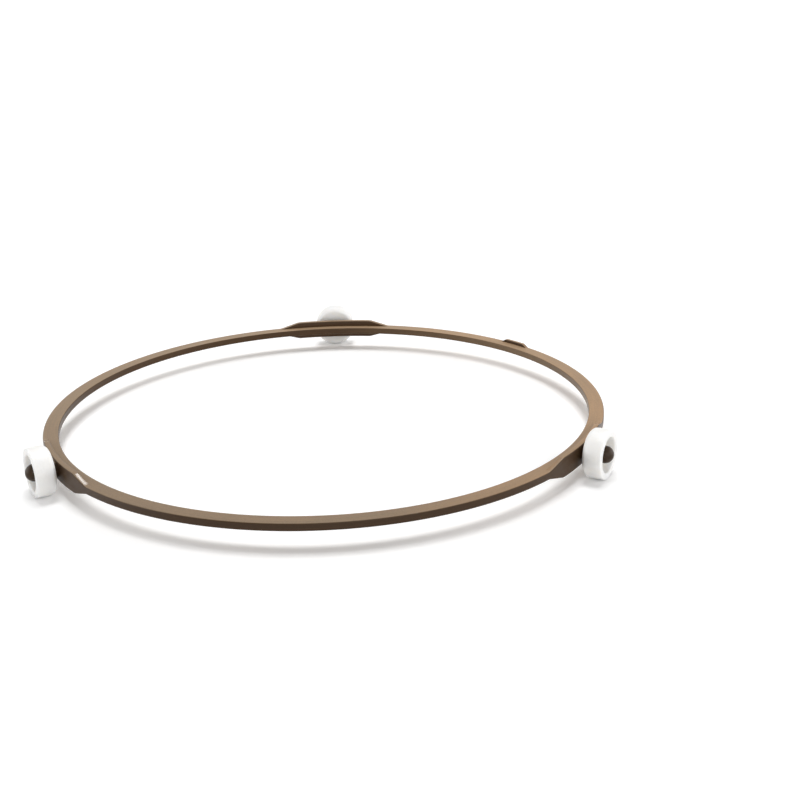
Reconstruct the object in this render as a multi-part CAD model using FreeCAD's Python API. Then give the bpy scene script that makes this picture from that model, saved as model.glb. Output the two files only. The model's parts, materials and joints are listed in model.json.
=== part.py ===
import FreeCAD, Part
import math
import os

# Microwave roller ring: a moulded support ring that carries free-turning rollers on its own pins.
# Millimetres, +Z up. The origin is on the ring's axis, on the floor that the rollers stand on.
# The back roller's axle points along +Y, and the others follow at equal angles.

# Band, the flat ring itself
ring_outer_diameter = 180.0
band_width = 4.8
band_height = 2.3
band_edge_bevel = 0.3

# Carrier walls, raised on the band's outer side to hold the pins
carrier_thickness = 1.8
carrier_overhang = 2.0
carrier_crest_length = 28.6
carrier_ramp_length = 7.1
wall_edge_bevel = 0.25

# Tab on the band's top face
tab_angle = 40.0
tab_thickness = 1.3
tab_rise = 1.1
tab_crest_length = 8.5
tab_ramp_length = 2.0

# Rollers
roller_names = ("roller_back", "roller_left", "roller_right")
first_roller_angle = 90.0
roller_diameter = 15.0
roller_width = 6.0
roller_tread_crown = 0.12
roller_inner_edge_bevel = 0.9
roller_outer_edge_bevel = 0.3
roller_recess_diameter = 10.8
roller_recess_depth = 2.9
roller_recess_draft = 0.35
roller_recess_lip_bevel = 0.3

# Pins, moulded with the ring
pin_diameter = 4.2
pin_shoulder_diameter = 5.6
pin_shoulder_height = 0.9
pin_head_diameter = 5.2
pin_head_dome_height = 2.5
pin_head_proud = 1.4

# Clearances of the rollers on their pins
pin_clearance = 0.08
roller_end_play = 0.3

# Places that follow from the sizes above
ring_radius = ring_outer_diameter / 2
band_inner_radius = ring_radius - band_width
axle_height = roller_diameter / 2
band_top = axle_height + band_height / 2
band_bottom = axle_height - band_height / 2
shoulder_face = ring_radius + pin_shoulder_height
roller_inner_face = shoulder_face + roller_end_play
roller_outer_face = roller_inner_face + roller_width
recess_floor = roller_outer_face - roller_recess_depth
head_underside = recess_floor + roller_end_play
head_tip = roller_outer_face + pin_head_proud

ORIGIN = FreeCAD.Vector(0, 0, 0)
X_AXIS = FreeCAD.Vector(1, 0, 0)
Z_AXIS = FreeCAD.Vector(0, 0, 1)


def point(x, z):
    """A point of a profile in the XZ plane."""
    return FreeCAD.Vector(x, 0, z)


def outline(*points):
    """The straight edges of a profile through the points, in order."""
    return [Part.LineSegment(start, end).toShape() for start, end in zip(points, points[1:])]


def arc(start, middle, end):
    """A round edge of a profile, through three points."""
    return Part.Arc(start, middle, end).toShape()


def turned(edges, axis):
    """The solid that a closed profile sweeps about an axis through the origin."""
    return Part.Face(Part.Wire(edges)).revolve(ORIGIN, axis, 360)


def around(shape, angle):
    """The shape turned about the ring's axis, from +X to an angle in degrees."""
    return shape.rotated(ORIGIN, Z_AXIS, angle)


def band():
    """The flat ring, with bevelled edges."""
    left = band_inner_radius + band_edge_bevel
    right = ring_radius - band_edge_bevel
    low = band_bottom + band_edge_bevel
    high = band_top - band_edge_bevel
    corners = [point(left, band_bottom), point(right, band_bottom)]
    corners += [point(ring_radius, low), point(ring_radius, high)]
    corners += [point(right, band_top), point(left, band_top)]
    corners += [point(band_inner_radius, high), point(band_inner_radius, low)]
    return turned(outline(*corners, corners[0]), Z_AXIS)


def wall_outline(crest_length, ramp_length, rise, drop):
    """The face of a ramped wall, seen along the radius. Its ramps go on into the band's middle."""
    half_crest = crest_length / 2
    half_foot = half_crest + ramp_length * (rise + band_height / 2) / rise
    corners = [(half_foot, axle_height), (half_crest, band_top + rise)]
    corners += [(-half_crest, band_top + rise), (-half_foot, axle_height)]
    if drop > 0:
        corners += [(-half_crest, band_bottom - drop), (half_crest, band_bottom - drop)]
    corners.append(corners[0])
    return Part.Face(Part.makePolygon([FreeCAD.Vector(0, y, z) for y, z in corners]))


def ramped_wall(thickness, crest_length, ramp_length, rise, drop):
    """A wall along the band's outer side, at +X, whose crest runs down to the band on ramps.

    It stands above the band's top by rise and below its underside by drop.
    """
    base = FreeCAD.Vector(0, 0, band_bottom - drop)
    height = drop + band_height + rise
    outer = around(Part.makeCylinder(ring_radius, height, base), 180)
    inner = around(Part.makeCylinder(ring_radius - thickness, height, base), 180)
    prism = wall_outline(crest_length, ramp_length, rise, drop).extrude(X_AXIS * ring_radius)
    wall = outer.cut(inner).common(prism).Solids[0]
    return wall.makeChamfer(min(wall_edge_bevel, thickness / 3), long_edges(wall))


def long_edges(wall):
    """The edges along a wall's crest and ramps, where they stand clear of the band."""
    edges = []
    for edge in wall.Edges:
        box = edge.BoundBox
        clear = box.ZMax > band_top or box.ZMin < band_bottom
        if clear and box.YLength > box.XLength:
            edges.append(edge)
    return edges


def pin():
    """One axle pin along +X at the axle's height: a shoulder, the shaft and a domed snap head."""
    root = ring_radius - carrier_thickness / 2
    shoulder_radius = pin_shoulder_diameter / 2
    shaft_radius = pin_diameter / 2
    head_radius = pin_head_diameter / 2
    dome_base = head_tip - pin_head_dome_height
    dome_radius = (head_radius ** 2 + pin_head_dome_height ** 2) / (2 * pin_head_dome_height)
    dome_centre = head_tip - dome_radius
    half_angle = math.atan2(head_radius, dome_base - dome_centre) / 2
    dome_middle = point(dome_centre + dome_radius * math.cos(half_angle), dome_radius * math.sin(half_angle))
    edges = outline(
        point(head_tip, 0),
        point(root, 0),
        point(root, shoulder_radius),
        point(shoulder_face, shoulder_radius),
        point(shoulder_face, shaft_radius),
        point(head_underside, shaft_radius),
        point(head_underside, head_radius),
        point(dome_base, head_radius),
    )
    edges.append(arc(point(dome_base, head_radius), dome_middle, point(head_tip, 0)))
    return turned(edges, X_AXIS).translated(Z_AXIS * axle_height)


def roller():
    """One roller along +X at the axle's height, dished on its outer side round the pin's head."""
    bore = pin_diameter / 2 + pin_clearance
    tread = roller_diameter / 2
    shoulder = tread - roller_tread_crown
    mouth = roller_recess_diameter / 2
    lip = roller_recess_lip_bevel
    tread_start = roller_inner_face + roller_inner_edge_bevel
    tread_end = roller_outer_face - roller_outer_edge_bevel
    edges = outline(
        point(tread_end, shoulder),
        point(roller_outer_face, shoulder - roller_outer_edge_bevel),
        point(roller_outer_face, mouth + lip),
        point(roller_outer_face - lip, mouth),
        point(recess_floor, mouth - roller_recess_draft),
        point(recess_floor, bore),
        point(roller_inner_face, bore),
        point(roller_inner_face, shoulder - roller_inner_edge_bevel),
        point(tread_start, shoulder),
    )
    tread_middle = point((tread_start + tread_end) / 2, tread)
    edges.append(arc(point(tread_start, shoulder), tread_middle, point(tread_end, shoulder)))
    return turned(edges, X_AXIS).translated(Z_AXIS * axle_height)


roller_step = 360.0 / len(roller_names)
roller_angles = [first_roller_angle + index * roller_step for index in range(len(roller_names))]

carrier = ramped_wall(
    carrier_thickness, carrier_crest_length, carrier_ramp_length, carrier_overhang, carrier_overhang
)
tab = ramped_wall(tab_thickness, tab_crest_length, tab_ramp_length, tab_rise, 0)

moulded = [around(tab, tab_angle)]
for angle in roller_angles:
    moulded.append(around(carrier, angle))
    moulded.append(around(pin(), angle))
support_ring = band().fuse(moulded).removeSplitter()

os.makedirs("parts", exist_ok=True)
support_ring.exportStep("parts/support_ring.step")
for name, angle in zip(roller_names, roller_angles):
    around(roller(), angle).exportStep("parts/" + name + ".step")
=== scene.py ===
"""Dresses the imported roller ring: a moulded brown ring, its three white rollers and a plain studio."""
import json
import math

import bmesh
import bpy
from bpy.props import FloatProperty, FloatVectorProperty, IntProperty, PointerProperty
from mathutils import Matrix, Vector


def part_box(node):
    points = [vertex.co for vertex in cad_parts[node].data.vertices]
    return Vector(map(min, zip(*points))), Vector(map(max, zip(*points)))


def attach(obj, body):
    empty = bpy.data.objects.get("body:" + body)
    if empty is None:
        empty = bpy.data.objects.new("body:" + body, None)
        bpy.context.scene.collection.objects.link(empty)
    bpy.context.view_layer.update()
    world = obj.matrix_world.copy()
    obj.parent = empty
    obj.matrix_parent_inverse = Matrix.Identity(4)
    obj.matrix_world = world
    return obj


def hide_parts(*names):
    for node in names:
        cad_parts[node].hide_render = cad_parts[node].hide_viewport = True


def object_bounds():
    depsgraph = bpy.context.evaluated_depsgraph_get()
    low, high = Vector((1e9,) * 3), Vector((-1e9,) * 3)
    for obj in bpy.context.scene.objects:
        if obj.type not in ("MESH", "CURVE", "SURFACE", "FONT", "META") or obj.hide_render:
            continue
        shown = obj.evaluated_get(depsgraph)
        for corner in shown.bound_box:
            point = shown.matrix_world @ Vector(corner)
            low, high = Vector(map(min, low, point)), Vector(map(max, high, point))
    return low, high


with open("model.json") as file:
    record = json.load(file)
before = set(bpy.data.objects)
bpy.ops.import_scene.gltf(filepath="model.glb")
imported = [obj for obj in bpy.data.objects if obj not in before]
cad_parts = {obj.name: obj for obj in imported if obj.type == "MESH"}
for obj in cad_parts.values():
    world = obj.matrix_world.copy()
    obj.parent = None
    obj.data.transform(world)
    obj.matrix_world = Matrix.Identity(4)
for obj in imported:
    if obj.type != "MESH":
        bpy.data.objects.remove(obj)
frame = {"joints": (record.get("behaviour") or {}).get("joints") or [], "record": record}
CAD_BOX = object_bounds()

bl_info = {
    "name": "Microwave roller ring",
    "version": (1, 0, 0),
    "blender": (4, 5, 0),
    "location": "View3D > Sidebar > Roller ring",
    "description": "Builds a moulded support ring with free-turning rollers on the packed frame",
    "category": "Object",
}

MM = 0.001


def roller_stations():
    """Each roller's CAD node, its body and the angle of its axle, from the frame's joints."""
    stations = []
    for joint in frame["joints"]:
        across, deep, _ = joint["axis"]
        body = joint["child"]
        node = frame["record"]["behaviour"]["bodies"][body][0]
        stations.append((node, body, math.atan2(deep, across) % math.tau))
    return stations


ROLLERS = roller_stations()
FIRST_ANGLE = ROLLERS[0][2]

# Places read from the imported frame. The back roller's axle lies along +Y.
ROLLER_LOW, ROLLER_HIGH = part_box("roller_back")
RING_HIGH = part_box("support_ring")[1]
AXLE_HEIGHT = (ROLLER_LOW.z + ROLLER_HIGH.z) / 2
ROLLER_RADIUS = (ROLLER_HIGH.z - ROLLER_LOW.z) / 2
ROLLER_INNER_FACE = ROLLER_LOW.y
ROLLER_OUTER_FACE = ROLLER_HIGH.y
HEAD_TIP = RING_HIGH.y

# Fineness of the meshes
ARC_STEPS = 5
DOME_STEPS = 16
TREAD_STEPS = 8
MERGE_DISTANCE = 0.0015 * MM
SHARP_ANGLE = math.radians(33)

# Radii of the small edges, and the distance from an arc to the point that keeps the flat beside it flat
FINE_ROUNDING = 0.13 * MM
SHOULDER_ROUNDING = 2 * FINE_ROUNDING
RECESS_ROUNDING = 3 * FINE_ROUNDING
HOLD_DISTANCE = 0.12 * MM

# How softly a ramp meets its crest and the band, and how much of a wall's rise its edge may round off
RAMP_SOFTNESS = 0.1
ROUNDING_SHARE = 0.45

# Numbers that the points of the band's section and of a turned profile carry, and their turn once swept
BAND_COLUMNS = ("radial", "height", "lift", "drop", "tuck_in", "tuck_up", "inset")
TURNED_COLUMNS = ("along", "out")
TURN_COLUMN = "turn"
SEED_COLUMNS = (*BAND_COLUMNS, *TURNED_COLUMNS, TURN_COLUMN)

# Noise patterns: features to one unit of the coordinates, detail and roughness
MOULD_GRAIN = (2600, 3, 0.6)
FLOW_STREAKS = (1, 4, 0.55)
TONE_CLOUDS = (1, 2, 0.5)
WEAR_CLOUDS = (160, 4, 0.5)
WEAR_SPECKS = (1500, 4, 0.6)
SATIN_CLOUDS = (700, 3, 0.5)
NOISE_RANGE = (0.3, 0.7)
FULL_RANGE = (0.0, 1.0)

# About how long and how wide the marks along the band are
STREAK_SIZE = (14 * MM, 0.5 * MM)
CLOUD_SIZE = (45 * MM, 6 * MM)

# Where the brown plastic has its grain and is painted as lit, or is polished, by the upright part of its
# normal. Faces with less of the grain are painted in shade.
GRAINED_RANGE = (0.70, 0.96)
RAMP_MATCH = 0.016

# Tones of the brown plastic, and its painted light and shade
CLOUD_WARMTH = (-0.15, 0.45)
# Painted light: how much lighter and warmer the faces above and below grow towards the right side
PAINTED_SIDE_LIGHT_ON_TOP = 0.6
# Painted light: how much paler the inner wall grows towards the right side
PAINTED_SIDE_LIGHT_ON_WALL = 1.3
STREAK_TONE = (0.91, 1.09)
GRAIN_TONE = (-0.10, 0.10)
# Painted light and shade: lighter towards the back, darker towards the front
PAINTED_REAR_LIGHT = 0.15
# Painted shade: how dark the pins are beside the band
PAINTED_PIN_SHADE = 0.65

# Gloss and relief of the brown plastic. A bump is its strength and depth.
POLISHED_ROUGHNESS = 0.17
SMOOTH_ROUGHNESS = 0.36
GRAINED_ROUGHNESS = 0.46
STREAK_ROUGHNESS = (-0.04, 0.04)
SMOOTH_RELIEF = 0.2
GRAIN_BUMP = (0.3, 0.02 * MM)
BROWN_IOR = 1.5
BROWN_SPECULAR = 0.2

# Wear, gloss and inner light of the white plastic
WEAR_STRENGTH = (0.0, 0.6)
SATIN_ROUGHNESS = (0.34, 0.44)
SPECK_BUMP = (0.12, 0.015 * MM)
WHITE_IOR = 1.48
SCATTER_WEIGHT = 1.0
SCATTER_TINT = (1.0, 0.96, 0.90)

# Directions that light comes from, as angles from +X towards +Y
FROM_RIGHT = 0.0
FROM_BEHIND = math.pi / 2
FROM_LEFT = math.pi

WHITE = (1, 1, 1, 1)
PICTURE_WIDTH_MM = 36
NEAR_CLIP = 0.01


# Settings

def length_setting(label, about, default):
    """A length that a user may change, in metres."""
    return FloatProperty(name=label, description=about, default=default, unit="LENGTH", precision=5)


def angle_setting(label, about, degrees):
    """An angle that a user may change."""
    return FloatProperty(name=label, description=about, default=math.radians(degrees), subtype="ANGLE")


def colour_setting(label, about, default):
    """A colour that a user may change, as linear red, green and blue."""
    return FloatVectorProperty(name=label, description=about, default=default, subtype="COLOR", min=0, max=1)


def strength_setting(label, about, default):
    """A strength or gain that a user may change."""
    return FloatProperty(name=label, description=about, default=default)


def steps_setting(label, about, default, least):
    """A number of faces that a user may change."""
    return IntProperty(name=label, description=about, default=default, min=least)


class RingSettings(bpy.types.PropertyGroup):
    """Sizes and finish of the moulded ring and its pins, with painted light and shade in its colours."""

    outer_radius: length_setting("Outer radius", "Radius of the band's outer wall", 90 * MM)
    band_width: length_setting("Band width", "Width of the flat band, along the radius", 4.8 * MM)
    band_height: length_setting("Band height", "Height of the band between its flat faces", 2.3 * MM)
    edge_rounding: length_setting("Edge rounding", "Radius along the band's edges", 0.34 * MM)
    wall_thickness: length_setting("Carrier thickness", "Thickness of the walls with the pins", 1.8 * MM)
    overhang: length_setting("Carrier overhang", "Stand of a carrier above and below the band", 2.0 * MM)
    crest_length: length_setting("Carrier crest", "Length of a carrier's level crest", 28.6 * MM)
    ramp_length: length_setting("Carrier ramp", "Length of each ramp from the crest to the band", 7.1 * MM)
    tab_angle: angle_setting("Tab angle", "Where the tab stands on the band", 40)
    tab_thickness: length_setting("Tab thickness", "Thickness of the tab along the radius", 1.3 * MM)
    tab_rise: length_setting("Tab rise", "Height of the tab above the band", 1.1 * MM)
    tab_crest_length: length_setting("Tab crest", "Length of the tab's level crest", 8.5 * MM)
    tab_ramp_length: length_setting("Tab ramp", "Length of each ramp of the tab", 2.0 * MM)
    shaft_radius: length_setting("Pin radius", "Radius of the pins that the rollers turn on", 2.1 * MM)
    shoulder_radius: length_setting("Shoulder radius", "Radius of the seat round a pin's root", 2.8 * MM)
    shoulder_face: length_setting("Shoulder face", "Distance of the seat's face from the axis", 90.9 * MM)
    head_radius: length_setting("Head radius", "Radius of the domed snap head", 2.6 * MM)
    head_underside: length_setting("Head underside", "Distance of the head's back from the axis", 94.6 * MM)
    dome_height: length_setting("Dome height", "Height of the round end of the head", 2.5 * MM)
    band_steps: steps_setting("Band steps", "Faces round the band", 1080, 90)
    pin_steps: steps_setting("Pin steps", "Faces round a pin", 72, 24)
    # Painted light: the faces above and below are paler, as if lit from above
    lit_grained_colour: colour_setting(
        "Grained colour", "Brown of the grained faces above and below", (0.255, 0.175, 0.104),
    )
    # Random warm clouds, and painted light on the ring's right side
    warm_and_lit_colour: colour_setting(
        "Warm colour", "Brown of the grained faces on the ring's warmer side", (0.39, 0.24, 0.127),
    )
    # Painted shade: the walls are darker, as if in shade
    shaded_smooth_colour: colour_setting(
        "Smooth colour", "Brown of the smooth walls that the mould draws along", (0.055, 0.0278, 0.0103),
    )
    # Painted light on the inner wall of the ring's right side
    lit_inner_wall_colour: colour_setting(
        "Warm wall", "Brown of the inner wall on the ring's warmer side", (0.154, 0.099, 0.055),
    )


class RollerSettings(bpy.types.PropertyGroup):
    """Sizes and finish of the rollers."""

    crown: length_setting("Tread crown", "How far the tread's middle stands above its ends", 0.12 * MM)
    inner_bevel: length_setting("Inner bevel", "Bevel of the tread's edge beside the ring", 0.9 * MM)
    inner_rounding: length_setting("Inner rounding", "Radius at both edges of that bevel", 1.0 * MM)
    outer_rounding: length_setting("Outer rounding", "Radius of the tread's outer edge", 0.3 * MM)
    recess_radius: length_setting("Recess radius", "Radius of the recess round the pin's head", 5.4 * MM)
    recess_depth: length_setting("Recess depth", "Depth of that recess", 2.9 * MM)
    recess_draft: length_setting("Recess draft", "How much narrower the recess is at its floor", 0.35 * MM)
    lip_rounding: length_setting("Lip rounding", "Radius at the mouth of the recess", 0.3 * MM)
    bore_radius: length_setting("Bore radius", "Radius of the hole for the pin", 2.18 * MM)
    steps: steps_setting("Steps", "Faces round a roller", 160, 24)
    body_colour: colour_setting("Colour", "Main colour of the white plastic", (0.88, 0.872, 0.856))
    worn_colour: colour_setting("Worn colour", "Colour of the faint marks of use", (0.80, 0.785, 0.76))
    light_reach: length_setting("Light reach", "How far light spreads inside the white plastic", 2.5 * MM)


class StudioSettings(bpy.types.PropertyGroup):
    """Floor, light and camera."""

    floor_size: length_setting("Floor size", "Side of the square floor", 24.0)
    floor_colour: colour_setting(
        "Floor colour", "Colour of the pale floor as the camera sees it", (0.95, 0.95, 0.95),
    )
    floor_gain: strength_setting("Floor gain", "How many times as bright the camera sees the floor", 1.2)
    bounce_colour: colour_setting(
        "Bounce colour", "Colour of the floor for the light that it throws back", (0.88, 0.88, 0.88),
    )
    key_strength: strength_setting("Key strength", "Strength of the soft light overhead", 1.44)
    key_height: angle_setting("Key height", "Height of the overhead light, a little behind the ring", 82)
    key_size: angle_setting("Key size", "Angle that the overhead light spans", 28)
    left_strength: strength_setting("Left strength", "Strength of the fill from the left", 1.4)
    right_strength: strength_setting("Right strength", "Strength of the fill from the right", 1.65)
    fill_height: angle_setting("Fill height", "Height of the fills at the sides over the floor", 12)
    fill_size: angle_setting("Fill size", "Angle that each fill spans", 60)
    front_strength: strength_setting("Front strength", "Strength of the fill from the front", 1.05)
    front_height: angle_setting("Front height", "Height of the fill from the front over the floor", 14)
    front_bearing: angle_setting("Front bearing", "Direction of the front fill, from +X towards +Y", 290)
    glint_strength: strength_setting("Glint strength", "Strength of the lamp that glints on the ramps", 0.3)
    glint_height: angle_setting("Glint height", "Height of the small lamp over the floor", 48.6)
    glint_bearing: angle_setting("Glint bearing", "Direction of the small lamp, from +X towards +Y", 88.5)
    glint_size: angle_setting("Glint size", "Angle that the small lamp spans", 6)
    ambient: strength_setting("Ambient", "Strength of the light from all round", 0.17)
    camera_place: FloatVectorProperty(
        name="Camera place", description="Where the camera stands", default=(0.020183, -0.370324, 0.144335),
        subtype="TRANSLATION", unit="LENGTH", precision=5,
    )
    camera_turn: FloatVectorProperty(
        name="Camera turn", description="Euler angles of the camera",
        default=(math.radians(69.8976), math.radians(1.4822), math.radians(-1.1678)), subtype="EULER",
    )
    lens: FloatProperty(
        name="Lens", description="Focal length on a 36 mm wide frame, in millimetres", default=54,
    )


# Node helpers

def connect(tree, node, sockets):
    """Links or sets each named or numbered input of a node."""
    for key, value in sockets.items():
        if isinstance(value, bpy.types.NodeSocket):
            tree.links.new(value, node.inputs[key])
        else:
            node.inputs[key].default_value = value


def add_node(tree, kind, sockets=None, **settings):
    """A new node with its settings, and its inputs linked or set."""
    node = tree.nodes.new(kind)
    for key, value in settings.items():
        setattr(node, key, value)
    connect(tree, node, sockets or {})
    return node


def maths(tree, operation, *values):
    """The output of a math node on up to three values."""
    return add_node(tree, "ShaderNodeMath", dict(enumerate(values)), operation=operation).outputs[0]


def total(tree, first, *others):
    """The sum of several values."""
    for other in others:
        first = maths(tree, "ADD", first, other)
    return first


def product(tree, first, *others):
    """The product of several values."""
    for other in others:
        first = maths(tree, "MULTIPLY", first, other)
    return first


def between(tree, share, low, high):
    """The value that lies at a share of the way from low to high."""
    return maths(tree, "MULTIPLY_ADD", share, high - low, low)


def separated(tree, vector):
    """The X, Y and Z of a vector, by name."""
    return add_node(tree, "ShaderNodeSeparateXYZ", {0: vector}).outputs


def combined(tree, **parts):
    """The vector with the named X, Y and Z."""
    return add_node(tree, "ShaderNodeCombineXYZ", parts).outputs[0]


def read(tree, column):
    """A number that the section or profile carries at each of its points."""
    node = add_node(tree, "GeometryNodeInputNamedAttribute", {"Name": column}, data_type="FLOAT")
    return node.outputs["Attribute"]


def new_tree(name, inputs):
    """A geometry tree with the named inputs, after the geometry itself, and the values that come in."""
    tree = bpy.data.node_groups.new(name, "GeometryNodeTree")
    tree.interface.new_socket("Geometry", in_out="INPUT", socket_type="NodeSocketGeometry")
    for label, kind in inputs.items():
        tree.interface.new_socket(label, in_out="INPUT", socket_type=kind)
    tree.interface.new_socket("Geometry", in_out="OUTPUT", socket_type="NodeSocketGeometry")
    return tree, tree.nodes.new("NodeGroupInput").outputs


def finish_tree(tree, geometry, material):
    """Ends a tree: instances made real, and one material on all faces."""
    real = add_node(tree, "GeometryNodeRealizeInstances", {"Geometry": geometry})
    painted = add_node(tree, "GeometryNodeSetMaterial", {"Geometry": real.outputs[0], "Material": material})
    add_node(tree, "NodeGroupOutput", {0: painted.outputs[0]})


def run_tree(obj, tree, values):
    """Runs a tree on an object with values for its named inputs, and keeps the result as a plain mesh."""
    modifier = obj.modifiers.new(tree.name, "NODES")
    modifier.node_group = tree
    for item in tree.interface.items_tree:
        if item.in_out == "INPUT" and item.name in values:
            modifier[item.identifier] = values[item.name]
    depsgraph = bpy.context.evaluated_depsgraph_get()
    mesh = bpy.data.meshes.new_from_object(obj.evaluated_get(depsgraph), depsgraph=depsgraph)
    seed = obj.data
    obj.modifiers.clear()
    obj.data = mesh
    bpy.data.meshes.remove(seed)
    mesh.name = obj.name


# Outlines

def rounded(corners, closed):
    """Points of an outline whose corners are (across, up, radius), with an arc at each round corner.

    A point stands a little before and after each arc, so that the flats beside it shade flat.
    """
    points = []
    count = len(corners)
    for index, (across, up, radius) in enumerate(corners):
        is_end = not closed and index in (0, count - 1)
        if radius <= 0 or is_end:
            points.append((across, up))
            continue
        before = corners[index - 1]
        after = corners[(index + 1) % count]
        points.extend(corner_arc((across, up), before, after, radius))
    return points


def corner_arc(corner, before, after, radius):
    """The arc that rounds one corner, with a holding point before and after it."""
    ways = []
    for other in (before, after):
        reach = math.dist(corner, other[:2])
        ways.append(((other[0] - corner[0]) / reach, (other[1] - corner[1]) / reach))
    (in_x, in_y), (out_x, out_y) = ways
    half = math.acos(max(-1.0, min(1.0, in_x * out_x + in_y * out_y))) / 2
    setback = radius / math.tan(half)
    middle_x, middle_y = in_x + out_x, in_y + out_y
    scale = radius / math.sin(half) / math.hypot(middle_x, middle_y)
    centre = (corner[0] + middle_x * scale, corner[1] + middle_y * scale)
    first = (corner[0] + in_x * setback, corner[1] + in_y * setback)
    last = (corner[0] + out_x * setback, corner[1] + out_y * setback)
    start = math.atan2(first[1] - centre[1], first[0] - centre[0])
    sweep = math.atan2(last[1] - centre[1], last[0] - centre[0]) - start
    sweep = (sweep + math.pi) % math.tau - math.pi
    arc = [(first[0] + in_x * HOLD_DISTANCE, first[1] + in_y * HOLD_DISTANCE)]
    for step in range(ARC_STEPS + 1):
        angle = start + sweep * step / ARC_STEPS
        arc.append((centre[0] + radius * math.cos(angle), centre[1] + radius * math.sin(angle)))
    arc.append((last[0] + out_x * HOLD_DISTANCE, last[1] + out_y * HOLD_DISTANCE))
    return arc


def seed_object(name, rows, columns, closed):
    """A line of points, one for each row, that carries the named columns as numbers for a tree to read."""
    mesh = bpy.data.meshes.new(name)
    edges = [(index, index + 1) for index in range(len(rows) - 1)]
    if closed:
        edges.append((len(rows) - 1, 0))
    mesh.from_pydata([(row[0], row[1], 0) for row in rows], edges, [])
    for position, column in enumerate(columns):
        layer = mesh.attributes.new(column, "FLOAT", "POINT")
        layer.data.foreach_set("value", [row[position] for row in rows])
    obj = bpy.data.objects.new(name, mesh)
    bpy.context.scene.collection.objects.link(obj)
    return obj


def settle(obj):
    """Closes seams and poles, points the faces outwards and keeps only true edges sharp."""
    mesh = obj.data
    work = bmesh.new()
    work.from_mesh(mesh)
    bmesh.ops.remove_doubles(work, verts=work.verts, dist=MERGE_DISTANCE)
    bmesh.ops.dissolve_degenerate(work, edges=work.edges, dist=MERGE_DISTANCE)
    bmesh.ops.recalc_face_normals(work, faces=work.faces)
    work.to_mesh(mesh)
    work.free()
    for column in SEED_COLUMNS:
        if column in mesh.attributes:
            mesh.attributes.remove(mesh.attributes[column])
    mesh.shade_smooth()
    mesh.set_sharp_from_angle(angle=SHARP_ANGLE)


def section_point(across, up, lift=0.0, drop=0.0, tuck_in=0.0, tuck_up=0.0, inset=0.0):
    """One point of the band's section, in the order of its columns."""
    return (across, up, lift, drop, tuck_in, tuck_up, inset)


def band_section(sizes):
    """The band's section, from the inner side round the bottom, the outer wall and the top.

    Each point has its radius from the outer wall and its height from the axle, and says how it follows
    a carrier: lift and drop move it with the crest, tuck rounds the carrier's inner edge, and inset
    thins the wall at the tab.
    """
    half = sizes.band_height / 2
    inner = -sizes.band_width
    foot = -sizes.wall_thickness
    edge = sizes.edge_rounding
    corners = [(inner, -half, edge), (0.0, -half, edge), (0.0, half, edge), (inner, half, edge)]
    bottom, wall, top = [], [], []
    for across, up in rounded(corners, closed=True):
        if across > foot:
            wall.append(section_point(across, up, lift=float(up > 0), drop=float(up < 0)))
        elif up < 0:
            bottom.append(section_point(across, up))
        else:
            top.append(section_point(across, up))
    bottom_edge = inner_edge(foot, -half, rising=False)
    top_edge = inner_edge(foot, half, rising=True)
    return bottom + bottom_edge + wall + top_edge + top


def inner_edge(foot, level, rising):
    """Points at a wall's inner foot and round its inner crest edge, in the section's order."""
    side = 1.0 if rising else -1.0
    points = [section_point(foot - HOLD_DISTANCE, level, inset=1.0), section_point(foot, level, inset=1.0)]
    for step in range(ARC_STEPS + 1):
        angle = math.pi / 2 * step / ARC_STEPS
        points.append(section_point(
            foot, level, lift=float(rising), drop=float(not rising),
            tuck_in=1 - math.cos(angle), tuck_up=side * (math.sin(angle) - 1), inset=1.0,
        ))
    return points[::-1] if rising else points


def pin_profile(sizes):
    """Half the outline of a pin, from inside the carrier's wall to the tip of its domed head."""
    root = sizes.outer_radius - sizes.wall_thickness / 2
    dome_base = HEAD_TIP - sizes.dome_height
    sphere = (sizes.head_radius ** 2 + sizes.dome_height ** 2) / (2 * sizes.dome_height)
    widest = math.asin(min(1.0, sizes.head_radius / sphere))
    corners = [
        (root, 0.0, 0),
        (root, sizes.shoulder_radius, 0),
        (sizes.shoulder_face, sizes.shoulder_radius, SHOULDER_ROUNDING),
        (sizes.shoulder_face, sizes.shaft_radius, 0),
        (sizes.head_underside, sizes.shaft_radius, 0),
        (sizes.head_underside, sizes.head_radius, FINE_ROUNDING),
        (dome_base, sizes.head_radius, 0),
    ]
    points = rounded(corners, closed=False)
    for step in range(1, DOME_STEPS + 1):
        angle = widest * (1 - step / DOME_STEPS)
        points.append((HEAD_TIP - sphere * (1 - math.cos(angle)), sphere * math.sin(angle)))
    return points


def tread(start, end, crown):
    """The tread's slightly barrelled line between its two edges."""
    points = []
    for step in range(TREAD_STEPS + 1):
        share = step / TREAD_STEPS
        points.append((start + (end - start) * share, ROLLER_RADIUS - crown * (2 * share - 1) ** 2))
    return points


def roller_profile(sizes):
    """The closed outline of one side of a roller, dished on its outer side round the pin's head."""
    shoulder = ROLLER_RADIUS - sizes.crown
    floor = ROLLER_OUTER_FACE - sizes.recess_depth
    tread_line = tread(ROLLER_INNER_FACE + sizes.inner_bevel, ROLLER_OUTER_FACE, sizes.crown)
    corners = [
        (ROLLER_INNER_FACE, sizes.bore_radius, FINE_ROUNDING),
        (ROLLER_INNER_FACE, shoulder - sizes.inner_bevel, sizes.inner_rounding),
        (*tread_line[0], sizes.inner_rounding),
        *[(*place, 0) for place in tread_line[1:-1]],
        (*tread_line[-1], sizes.outer_rounding),
        (ROLLER_OUTER_FACE, sizes.recess_radius, sizes.lip_rounding),
        (floor, sizes.recess_radius - sizes.recess_draft, RECESS_ROUNDING),
        (floor, sizes.bore_radius, FINE_ROUNDING),
    ]
    return rounded(corners, closed=True)


# Geometry trees

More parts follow.
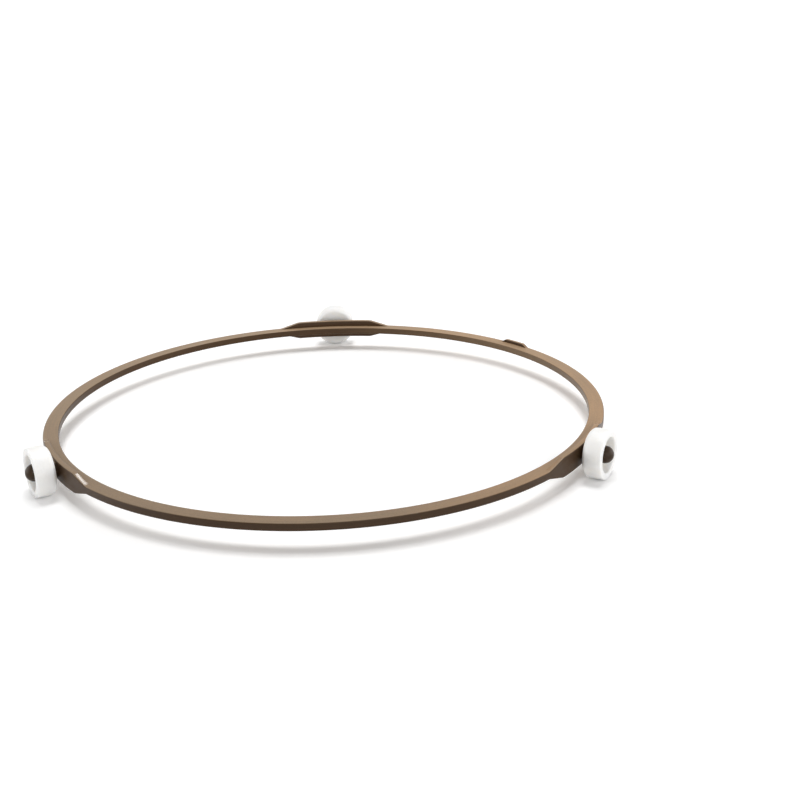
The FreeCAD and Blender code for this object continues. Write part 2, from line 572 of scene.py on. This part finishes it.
def swept(tree, section, radius, steps):
    """The section swept round a circle, whose points carry their turn about the axis."""
    path = add_node(tree, "GeometryNodeCurvePrimitiveCircle",
                    {"Resolution": steps, "Radius": radius}, mode="RADIUS")
    index = tree.nodes.new("GeometryNodeInputIndex").outputs[0]
    turn = maths(tree, "DIVIDE", product(tree, index, math.tau), steps)
    marked = add_node(tree, "GeometryNodeStoreNamedAttribute",
                      {"Geometry": path.outputs["Curve"], "Name": TURN_COLUMN, "Value": turn},
                      data_type="FLOAT", domain="POINT")
    profile = add_node(tree, "GeometryNodeMeshToCurve", {"Mesh": section})
    return add_node(tree, "GeometryNodeCurveToMesh",
                    {"Curve": marked.outputs[0], "Profile Curve": profile.outputs[0]}).outputs[0]


def shaped(tree, mesh, place):
    """The mesh with its points at their true places, and its seams and poles closed."""
    moved = add_node(tree, "GeometryNodeSetPosition", {"Geometry": mesh, "Position": place})
    return add_node(tree, "GeometryNodeMergeByDistance",
                    {"Geometry": moved.outputs[0], "Distance": MERGE_DISTANCE}).outputs[0]


def distance_from(tree, turn, first, spacing, radius):
    """Distance along the outer wall to the nearest of the places that follow the first at equal angles."""
    half = maths(tree, "DIVIDE", spacing, 2.0)
    off = maths(tree, "WRAP", maths(tree, "SUBTRACT", turn, first), half, product(tree, half, -1.0))
    return product(tree, maths(tree, "ABSOLUTE", off), radius)


def ramp(tree, distance, crest, run):
    """From 1 along a crest to 0 at the foot of its ramp, with soft corners, by distance from its middle."""
    reach = total(tree, product(tree, crest, 0.5), run)
    share = maths(tree, "DIVIDE", maths(tree, "SUBTRACT", reach, distance), run)
    above = maths(tree, "SMOOTH_MAX", share, 0.0, RAMP_SOFTNESS)
    return maths(tree, "SMOOTH_MIN", above, 1.0, RAMP_SOFTNESS)


def band_tree():
    """Sweeps the section round the ring, raises its wall at the carriers and the tab, and adds the pins."""
    size = "NodeSocketFloat"
    tree, value = new_tree("moulded_band", {
        "Radius": size, "Steps": "NodeSocketInt", "Axle height": size, "Carriers": "NodeSocketInt",
        "First angle": size, "Overhang": size, "Crest": size, "Ramp": size, "Rounding": size,
        "Tab angle": size, "Tab rise": size, "Tab crest": size, "Tab ramp": size, "Tab inset": size,
        "Pins": "NodeSocketObject", "Material": "NodeSocketMaterial",
    })
    turn = read(tree, TURN_COLUMN)
    spacing = maths(tree, "DIVIDE", math.tau, value["Carriers"])
    from_carrier = distance_from(tree, turn, value["First angle"], spacing, value["Radius"])
    carrier = product(tree, ramp(tree, from_carrier, value["Crest"], value["Ramp"]), value["Overhang"])
    from_tab = distance_from(tree, turn, value["Tab angle"], math.tau, value["Radius"])
    tab_share = ramp(tree, from_tab, value["Tab crest"], value["Tab ramp"])
    tab = product(tree, tab_share, value["Tab rise"])

    lift = product(tree, read(tree, "lift"), total(tree, carrier, tab))
    drop = product(tree, read(tree, "drop"), carrier)
    largest = product(tree, total(tree, lift, drop), ROUNDING_SHARE)
    rounding = maths(tree, "MINIMUM", largest, value["Rounding"])
    thinning = product(tree, maths(tree, "GREATER_THAN", tab_share, 0.0), value["Tab inset"])
    tuck_in = product(tree, read(tree, "tuck_in"), rounding)
    tuck_up = product(tree, read(tree, "tuck_up"), rounding)
    inset = product(tree, read(tree, "inset"), thinning)
    radius = total(tree, value["Radius"], read(tree, "radial"), tuck_in, inset)
    rise = maths(tree, "SUBTRACT", lift, drop)
    place = combined(
        tree,
        X=product(tree, radius, maths(tree, "COSINE", turn)),
        Y=product(tree, radius, maths(tree, "SINE", turn)),
        Z=total(tree, value["Axle height"], read(tree, "height"), rise, tuck_up),
    )

    band = shaped(tree, swept(tree, value["Geometry"], value["Radius"], value["Steps"]), place)
    outward = add_node(tree, "GeometryNodeFlipFaces", {"Mesh": band})
    pins = add_node(tree, "GeometryNodeObjectInfo", {"Object": value["Pins"]}, transform_space="RELATIVE")
    fused = add_node(tree, "GeometryNodeMeshBoolean", operation="UNION", solver="MANIFOLD")
    tree.links.new(outward.outputs[0], fused.inputs["Mesh 2"])
    tree.links.new(pins.outputs["Geometry"], fused.inputs["Mesh 2"])
    finish_tree(tree, fused.outputs[0], value["Material"])
    return tree


def turned_tree():
    """Turns a profile about its axle and sets copies of it round the ring."""
    size = "NodeSocketFloat"
    tree, value = new_tree("turned_piece", {
        "Steps": "NodeSocketInt", "Axle height": size, "Copies": "NodeSocketInt", "First angle": size,
        "Material": "NodeSocketMaterial",
    })
    turn = read(tree, TURN_COLUMN)
    out = read(tree, "out")
    place = combined(
        tree,
        X=read(tree, "along"),
        Y=product(tree, out, maths(tree, "COSINE", turn)),
        Z=total(tree, product(tree, out, maths(tree, "SINE", turn)), value["Axle height"]),
    )
    piece = shaped(tree, swept(tree, value["Geometry"], MM, value["Steps"]), place)

    stations = add_node(tree, "GeometryNodePoints", {"Count": value["Copies"]})
    index = tree.nodes.new("GeometryNodeInputIndex").outputs[0]
    share = maths(tree, "DIVIDE", product(tree, index, math.tau), value["Copies"])
    facing = combined(tree, Z=total(tree, share, value["First angle"]))
    rotation = add_node(tree, "FunctionNodeEulerToRotation", {"Euler": facing})
    placed = add_node(tree, "GeometryNodeInstanceOnPoints", {
        "Points": stations.outputs[0], "Instance": piece, "Rotation": rotation.outputs[0],
    })
    finish_tree(tree, placed.outputs[0], value["Material"])
    return tree


# Finishes

def cleared_tree(owner):
    """The emptied node tree of a material or world."""
    owner.use_nodes = True
    owner.node_tree.nodes.clear()
    return owner.node_tree


def new_material(name):
    """A node material with only its shader and output, and the coordinates that its patterns read."""
    material = bpy.data.materials.new(name)
    tree = cleared_tree(material)
    shader = tree.nodes.new("ShaderNodeBsdfPrincipled")
    add_node(tree, "ShaderNodeOutputMaterial", {"Surface": shader.outputs[0]})
    return material, tree, shader, tree.nodes.new("ShaderNodeTexCoord").outputs


def noise(tree, place, pattern):
    """A noise pattern, given as its features to one unit, detail and roughness."""
    scale, detail, roughness = pattern
    return add_node(tree, "ShaderNodeTexNoise", {
        "Vector": place, "Scale": scale, "Detail": detail, "Roughness": roughness,
    }).outputs[0]


def stretched(tree, value, wanted, found=NOISE_RANGE):
    """A value stretched from the range where it is found, by default that of a noise, to the wanted one."""
    return add_node(tree, "ShaderNodeMapRange", {
        "Value": value, "From Min": found[0], "From Max": found[1], "To Min": wanted[0], "To Max": wanted[1],
    }).outputs[0]


def blend_colours(tree, share, first, second):
    """A colour between two, which are plain colours or other nodes' outputs, by a share from 0 to 1."""
    mix = add_node(tree, "ShaderNodeMix", {"Factor": share}, data_type="RGBA")
    slots = [socket for socket in mix.inputs if socket.type == "RGBA"]
    for slot, value in zip(slots, (first, second)):
        if isinstance(value, bpy.types.NodeSocket):
            tree.links.new(value, slot)
        else:
            slot.default_value = (*value, 1)
    return next(socket for socket in mix.outputs if socket.type == "RGBA")


def bumped(tree, height, bump):
    """The normal that a relief gives, by the strength and depth of its bump."""
    strength, depth = bump
    return add_node(tree, "ShaderNodeBump", {
        "Strength": strength, "Distance": depth, "Height": height,
    }).outputs[0]


def along_band(tree, parts, radius, mark_size):
    """Coordinates for marks that follow the band, about as long and as wide as given."""
    run, width = mark_size
    runs = CAD_BOX[1].x / run
    return combined(
        tree,
        X=product(tree, maths(tree, "DIVIDE", parts["X"], radius), runs),
        Y=product(tree, maths(tree, "DIVIDE", parts["Y"], radius), runs),
        Z=maths(tree, "DIVIDE", total(tree, radius, parts["Z"]), width),
    )


def ring_plastic(sizes):
    """Brown moulded plastic: faces above and below with the grain, paler by painted light, walls and pins
    darker by painted shade, and polished ramps.

    Streaks of the flow run along the band. Its colour is warmer in random clouds. Painted light makes it
    lighter on the right, where the inner wall is paler too, and painted shade makes it deeper at the front.
    """
    material, tree, shader, coordinates = new_material("brown_moulded_plastic")
    place = coordinates["Object"]
    parts = separated(tree, place)
    flat = combined(tree, X=parts["X"], Y=parts["Y"])
    radius = add_node(tree, "ShaderNodeVectorMath", {0: flat}, operation="LENGTH").outputs["Value"]
    on_band = maths(tree, "LESS_THAN", radius, sizes.outer_radius + FINE_ROUNDING)
    inside = maths(tree, "LESS_THAN", radius, sizes.outer_radius - sizes.band_width + sizes.edge_rounding)
    upright = maths(tree, "ABSOLUTE", separated(tree, coordinates["Normal"])["Z"])
    # Share of the grain on the faces above and below; it also paints them lit and the walls in shade
    grained_lit = product(tree, stretched(tree, upright, FULL_RANGE, GRAINED_RANGE), on_band)
    ramp_upright = sizes.ramp_length / math.hypot(sizes.ramp_length, sizes.overhang)
    polished = product(tree, maths(tree, "COMPARE", upright, ramp_upright, RAMP_MATCH), on_band)
    unpolished = maths(tree, "SUBTRACT", 1.0, polished)

    grain = noise(tree, place, MOULD_GRAIN)
    streaks = noise(tree, along_band(tree, parts, radius, STREAK_SIZE), FLOW_STREAKS)
    clouds = noise(tree, along_band(tree, parts, radius, CLOUD_SIZE), TONE_CLOUDS)
    # Random warm clouds, and painted light that grows towards the right side
    side = maths(tree, "DIVIDE", parts["X"], sizes.outer_radius)
    warmth_and_side_light = maths(tree, "MULTIPLY_ADD", side, PAINTED_SIDE_LIGHT_ON_TOP, stretched(tree, clouds, CLOUD_WARMTH))
    pale = blend_colours(tree, warmth_and_side_light, sizes.lit_grained_colour, sizes.warm_and_lit_colour)
    # Painted light on the inner wall of the right side
    lit_right_inner_wall = product(tree, side, PAINTED_SIDE_LIGHT_ON_WALL, inside)
    wall = blend_colours(tree, lit_right_inner_wall, sizes.shaded_smooth_colour, sizes.lit_inner_wall_colour)
    brown = blend_colours(tree, grained_lit, wall, pale)
    uneven = total(tree, stretched(tree, streaks, STREAK_TONE), stretched(tree, grain, GRAIN_TONE))
    # Painted light and shade: lighter towards the back, darker towards the front
    painted_rear_shading = maths(tree, "MULTIPLY_ADD", parts["Y"], PAINTED_REAR_LIGHT / sizes.outer_radius, 1.0)
    # Painted shade makes the pins darker; they stand in the rollers' recesses
    tone_and_painted_shade = product(tree, uneven, painted_rear_shading, between(tree, on_band, PAINTED_PIN_SHADE, 1.0))
    toned_and_shaded = add_node(tree, "ShaderNodeVectorMath", {0: brown, "Scale": tone_and_painted_shade}, operation="SCALE")

    satin = between(tree, grained_lit, SMOOTH_ROUGHNESS, GRAINED_ROUGHNESS)
    satin = total(tree, satin, stretched(tree, streaks, STREAK_ROUGHNESS))
    gloss = maths(tree, "MULTIPLY_ADD", polished, POLISHED_ROUGHNESS, product(tree, satin, unpolished))
    depth = product(tree, between(tree, grained_lit, SMOOTH_RELIEF, 1.0), unpolished)
    connect(tree, shader, {
        "Base Color": toned_and_shaded.outputs[0],
        "Roughness": gloss,
        "IOR": BROWN_IOR,
        "Specular IOR Level": BROWN_SPECULAR,
        "Normal": bumped(tree, product(tree, grain, depth), GRAIN_BUMP),
    })
    return material


def roller_plastic(sizes):
    """White low-friction plastic: satin, a little translucent, with faint marks of running."""
    material, tree, shader, coordinates = new_material("white_roller_plastic")
    place = coordinates["Object"]
    clouds = noise(tree, place, WEAR_CLOUDS)
    specks = noise(tree, place, WEAR_SPECKS)
    marks = product(tree, stretched(tree, clouds, FULL_RANGE), stretched(tree, specks, WEAR_STRENGTH))
    connect(tree, shader, {
        "Base Color": blend_colours(tree, marks, sizes.body_colour, sizes.worn_colour),
        "Roughness": stretched(tree, noise(tree, place, SATIN_CLOUDS), SATIN_ROUGHNESS),
        "IOR": WHITE_IOR,
        "Subsurface Weight": SCATTER_WEIGHT,
        "Subsurface Radius": SCATTER_TINT,
        "Subsurface Scale": sizes.light_reach,
        "Normal": bumped(tree, specks, SPECK_BUMP),
    })
    return material


def shown_apart(tree, lit, shown):
    """Two shaders in one: the first for light on things, the second for the camera, gloss and glass."""
    rays = tree.nodes.new("ShaderNodeLightPath").outputs
    direct = maths(tree, "MAXIMUM", rays["Is Camera Ray"], rays["Is Glossy Ray"])
    direct = maths(tree, "MAXIMUM", direct, rays["Is Transmission Ray"])
    mix = add_node(tree, "ShaderNodeMixShader", {0: direct, 1: lit.outputs[0], 2: shown.outputs[0]})
    return mix.outputs[0]


def floor_finish(studio):
    """A pale floor that keeps the object's shadow."""
    material = bpy.data.materials.new("pale_floor")
    tree = cleared_tree(material)
    bounce = add_node(tree, "ShaderNodeBsdfDiffuse", {"Color": (*studio.bounce_colour, 1)})
    bright = [channel * studio.floor_gain for channel in studio.floor_colour]
    shown = add_node(tree, "ShaderNodeBsdfDiffuse", {"Color": (*bright, 1)})
    add_node(tree, "ShaderNodeOutputMaterial", {"Surface": shown_apart(tree, bounce, shown)})
    return material


# Operators

class OBJECT_OT_mould_roller_ring(bpy.types.Operator):
    """Moulds the ring with its carriers, pins and tab in one piece"""

    bl_idname = "object.mould_roller_ring"
    bl_label = "Mould the support ring"

    def execute(self, context):
        sizes = context.scene.roller_ring_body
        plastic = ring_plastic(sizes)
        pins = seed_object("pins", pin_profile(sizes), TURNED_COLUMNS, closed=False)
        run_tree(pins, turned_tree(), {
            "Steps": sizes.pin_steps, "Axle height": AXLE_HEIGHT, "Copies": len(ROLLERS),
            "First angle": FIRST_ANGLE, "Material": plastic,
        })
        settle(pins)
        ring = seed_object("ring_moulding", band_section(sizes), BAND_COLUMNS, closed=True)
        run_tree(ring, band_tree(), {
            "Radius": sizes.outer_radius, "Steps": sizes.band_steps, "Axle height": AXLE_HEIGHT,
            "Carriers": len(ROLLERS), "First angle": FIRST_ANGLE, "Overhang": sizes.overhang,
            "Crest": sizes.crest_length, "Ramp": sizes.ramp_length, "Rounding": sizes.edge_rounding,
            "Tab angle": sizes.tab_angle, "Tab rise": sizes.tab_rise, "Tab crest": sizes.tab_crest_length,
            "Tab ramp": sizes.tab_ramp_length, "Tab inset": sizes.wall_thickness - sizes.tab_thickness,
            "Pins": pins, "Material": plastic,
        })
        bpy.data.objects.remove(pins)
        settle(ring)
        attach(ring, "ring")
        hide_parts("support_ring")
        return {"FINISHED"}


class OBJECT_OT_turn_rollers(bpy.types.Operator):
    """Turns the white rollers and sets each on its own pin"""

    bl_idname = "object.turn_rollers"
    bl_label = "Turn the rollers"

    def execute(self, context):
        sizes = context.scene.roller_ring_rollers
        plastic = roller_plastic(sizes)
        tree = turned_tree()
        for node, body, angle in ROLLERS:
            roller = seed_object(body + "_wheel", roller_profile(sizes), TURNED_COLUMNS, closed=True)
            run_tree(roller, tree, {
                "Steps": sizes.steps, "Axle height": AXLE_HEIGHT, "Copies": 1,
                "First angle": angle, "Material": plastic,
            })
            settle(roller)
            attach(roller, body)
            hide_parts(node)
        return {"FINISHED"}


class SCENE_OT_set_roller_ring_studio(bpy.types.Operator):
    """Sets the pale floor, the soft light and the camera"""

    bl_idname = "scene.set_roller_ring_studio"
    bl_label = "Set the studio"

    def execute(self, context):
        scene = context.scene
        studio = scene.roller_ring_studio
        scene.view_settings.view_transform = "Standard"
        self.lay_floor(scene, studio)
        self.hang_lights(scene, studio)
        self.light_all_round(scene, studio)
        self.place_camera(scene, studio)
        return {"FINISHED"}

    def lay_floor(self, scene, studio):
        """The floor that the rollers stand on."""
        reach = studio.floor_size / 2
        corners = [(-reach, -reach, 0), (reach, -reach, 0), (reach, reach, 0), (-reach, reach, 0)]
        mesh = bpy.data.meshes.new("floor")
        mesh.from_pydata(corners, [], [(0, 1, 2, 3)])
        mesh.materials.append(floor_finish(studio))
        floor = bpy.data.objects.new("floor", mesh)
        scene.collection.objects.link(floor)

    def hang_lights(self, scene, studio):
        """A soft light overhead, fills from the sides and front, and a small lamp behind for the glint."""
        lights = (
            ("key", studio.key_strength, studio.key_size, studio.key_height, FROM_BEHIND),
            ("left_fill", studio.left_strength, studio.fill_size, studio.fill_height, FROM_LEFT),
            ("right_fill", studio.right_strength, studio.fill_size, studio.fill_height, FROM_RIGHT),
            ("front_fill", studio.front_strength, studio.fill_size, studio.front_height,
             studio.front_bearing),
            ("glint", studio.glint_strength, studio.glint_size, studio.glint_height, studio.glint_bearing),
        )
        for name, strength, size, height, bearing in lights:
            light = bpy.data.lights.new(name, "SUN")
            light.energy = strength
            light.angle = size
            lamp = bpy.data.objects.new(name, light)
            lamp.rotation_euler = (0, math.pi / 2 - height, bearing)
            scene.collection.objects.link(lamp)

    def light_all_round(self, scene, studio):
        """Even light from all sides, and a white background for the camera and for reflections."""
        world = bpy.data.worlds.new("studio")
        tree = cleared_tree(world)
        around = add_node(tree, "ShaderNodeBackground", {"Color": WHITE, "Strength": studio.ambient})
        backdrop = add_node(tree, "ShaderNodeBackground", {"Color": WHITE, "Strength": 1.0})
        add_node(tree, "ShaderNodeOutputWorld", {"Surface": shown_apart(tree, around, backdrop)})
        scene.world = world

    def place_camera(self, scene, studio):
        """The camera at the photograph's viewing angle."""
        lens = bpy.data.cameras.new("camera")
        lens.lens = studio.lens
        lens.sensor_width = PICTURE_WIDTH_MM
        lens.clip_start = NEAR_CLIP
        camera = bpy.data.objects.new("camera", lens)
        camera.location = studio.camera_place
        camera.rotation_euler = studio.camera_turn
        scene.collection.objects.link(camera)
        scene.camera = camera


class VIEW3D_PT_roller_ring(bpy.types.Panel):
    """Sizes, colours and build steps of the roller ring"""

    bl_idname = "VIEW3D_PT_roller_ring"
    bl_label = "Roller ring"
    bl_space_type = "VIEW_3D"
    bl_region_type = "UI"
    bl_category = "Roller ring"

    def draw(self, context):
        for group, _, operator in BUILD_STEPS:
            box = self.layout.box()
            settings = getattr(context.scene, group)
            for name in settings.bl_rna.properties.keys():
                if name not in {"rna_type", "name"}:
                    box.prop(settings, name)
            box.operator(operator.bl_idname)


# Each build step: where its settings are kept on the scene, their group and the operator that uses them
BUILD_STEPS = (
    ("roller_ring_body", RingSettings, OBJECT_OT_mould_roller_ring),
    ("roller_ring_rollers", RollerSettings, OBJECT_OT_turn_rollers),
    ("roller_ring_studio", StudioSettings, SCENE_OT_set_roller_ring_studio),
)
CLASSES = (
    RingSettings, RollerSettings, StudioSettings,
    OBJECT_OT_mould_roller_ring, OBJECT_OT_turn_rollers, SCENE_OT_set_roller_ring_studio,
    VIEW3D_PT_roller_ring,
)


def register():
    """Registers the classes and keeps their settings on the scene."""
    for item in CLASSES:
        bpy.utils.register_class(item)
    for name, group, _ in BUILD_STEPS:
        setattr(bpy.types.Scene, name, PointerProperty(type=group))


def unregister():
    """Takes the settings and the classes away again."""
    for name, _, _ in BUILD_STEPS:
        delattr(bpy.types.Scene, name)
    for item in reversed(CLASSES):
        bpy.utils.unregister_class(item)


def main():
    """Builds the ring, the rollers and the studio."""
    register()
    bpy.ops.object.mould_roller_ring()
    bpy.ops.object.turn_rollers()
    bpy.ops.scene.set_roller_ring_studio()


if __name__ == "__main__":
    main()
